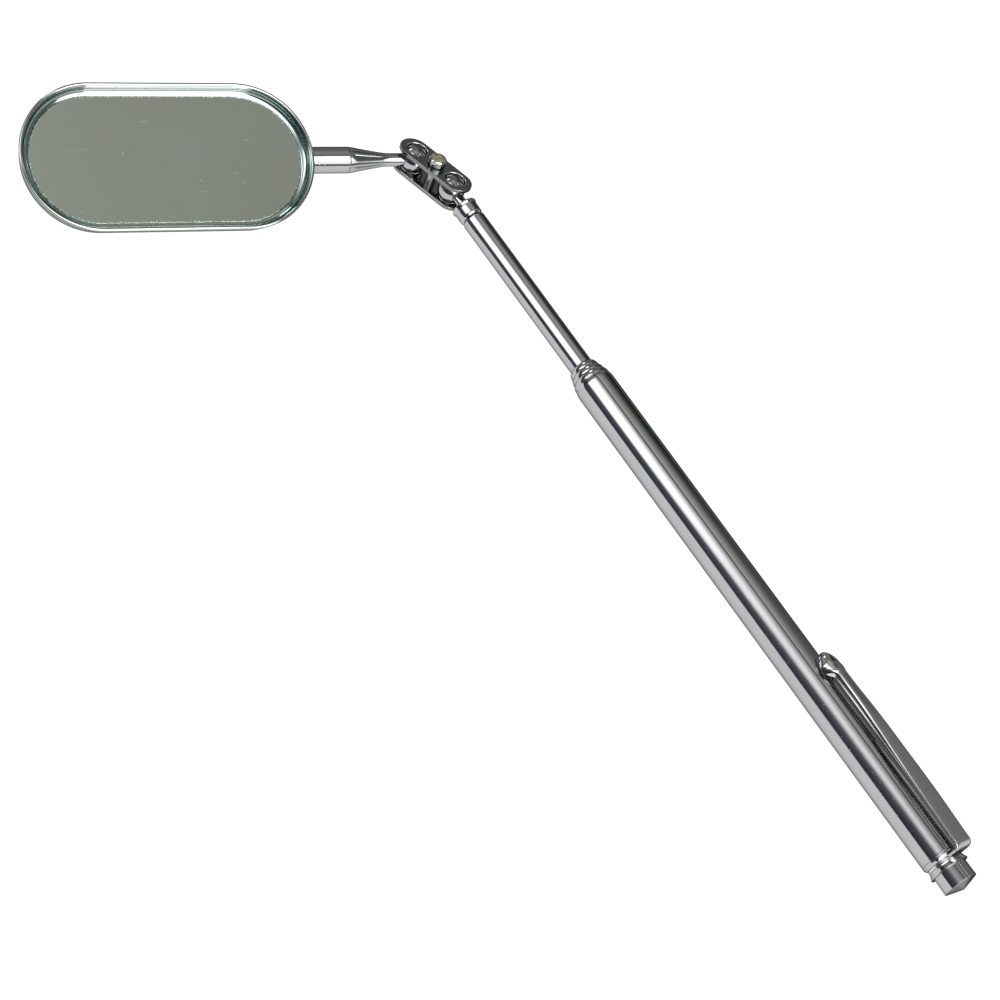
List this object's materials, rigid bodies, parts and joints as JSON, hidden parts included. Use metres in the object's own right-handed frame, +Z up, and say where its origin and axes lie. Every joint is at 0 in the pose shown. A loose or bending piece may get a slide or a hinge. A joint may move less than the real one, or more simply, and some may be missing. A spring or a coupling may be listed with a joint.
{
  "type": "telescoping inspection mirror",
  "caption": "Small oval mirror in a drawn steel dish, on a double ball link at the end of a three-stage telescoping rod with a chromed tube handle and pocket clip.",
  "frame": {"origin": "centre of the footprint, on the flat surface that the tool lies on", "axes": "+X along the handle towards its end cap (the handle drops 0.27 degrees to it), -Y to the side where the mirror head lies, +Z up"},
  "size_m": [0.1862, 0.0728, 0.013],
  "materials": {
    "chrome": "bright chrome plate, finely scuffed towards the end cap",
    "turned_steel": "plated over visible turning marks",
    "brass": "plain turned brass, dull",
    "silvered_glass": "polished, silvered behind, light bevel at the edge",
    "backing": "black foam pad, hidden under the glass"
  },
  "bodies": {
    "handle": {"handle_tube": "chrome", "nose_bush": "brass", "end_bush": "chrome", "end_cap": "chrome", "clip_eyelet": "chrome"},
    "clip": {"clip_arm": "chrome"},
    "outer_section": {"outer_tube": "chrome", "outer_base_bush": "brass", "outer_friction_ring": "brass"},
    "middle_section": {"middle_tube": "chrome", "middle_friction_ring": "brass"},
    "inner_section": {"inner_rod": "chrome", "inner_friction_ring": "brass"},
    "stud": {"rod_stud": "chrome"},
    "rod_ball": {"rod_ball": "chrome"},
    "link": {"front_plate": "chrome", "rear_plate": "chrome", "clamp_screw": "brass", "clamp_nut": "chrome"},
    "mirror_ball": {"mirror_ball": "chrome"},
    "stem": {"mirror_stem": "turned_steel"},
    "mirror_head": {"mirror_frame": "chrome", "mirror_glass": "silvered_glass", "backing_pad": "backing", "stem_barrel": "chrome"}
  },
  "joints": [
    {"name": "clip_flex", "type": "hinge", "parent": "handle", "child": "clip", "pos_m": [0.08658, 0.03422, 0.00785], "axis": [-0.0021, 0.891, -0.454], "range_deg": [0, 5], "stiffness_Nm_per_rad": 0.4},
    {"name": "outer_slide", "type": "slide", "parent": "handle", "child": "outer_section", "axis": [-1, 0, 0.0047], "range_m": [-0.033, 0.045]},
    {"name": "middle_slide", "type": "slide", "parent": "outer_section", "child": "middle_section", "axis": [-1, 0, 0.0047], "range_m": [0, 0.08]},
    {"name": "inner_slide", "type": "slide", "parent": "middle_section", "child": "inner_section", "axis": [-1, 0, 0.0047], "range_m": [0, 0.075]},
    {"name": "stud_spin", "type": "hinge", "parent": "inner_section", "child": "stud", "pos_m": [-0.05376, 0.03198, 0.00411], "axis": [1, 0, -0.0047], "continuous": true},
    {"name": "rod_ball_tilt", "type": "hinge", "parent": "stud", "child": "rod_ball", "pos_m": [-0.05376, 0.03198, 0.00411], "axis": [-0.0009, 0.9823, -0.1874], "range_deg": [-1, 21]},
    {"name": "rod_ball_swing", "type": "hinge", "parent": "rod_ball", "child": "link", "pos_m": [-0.05376, 0.03198, 0.00411], "axis": [-0.1691, 0.1845, 0.9682], "range_deg": [-105, 85]},
    {"name": "mirror_ball_swing", "type": "hinge", "parent": "link", "child": "mirror_ball", "pos_m": [-0.0625, 0.03014, 0.00293], "axis": [0.1691, -0.1845, -0.9682], "range_deg": [-35, 154]},
    {"name": "mirror_ball_tilt", "type": "hinge", "parent": "mirror_ball", "child": "stem", "pos_m": [-0.0625, 0.03014, 0.00293], "axis": [-0.9247, 0.3103, -0.2207], "range_deg": [-4, 11]},
    {"name": "mirror_roll", "type": "hinge", "parent": "stem", "child": "mirror_head", "pos_m": [-0.0625, 0.03014, 0.00293], "axis": [0.3311, 0.9414, -0.0639], "continuous": true}
  ]
}
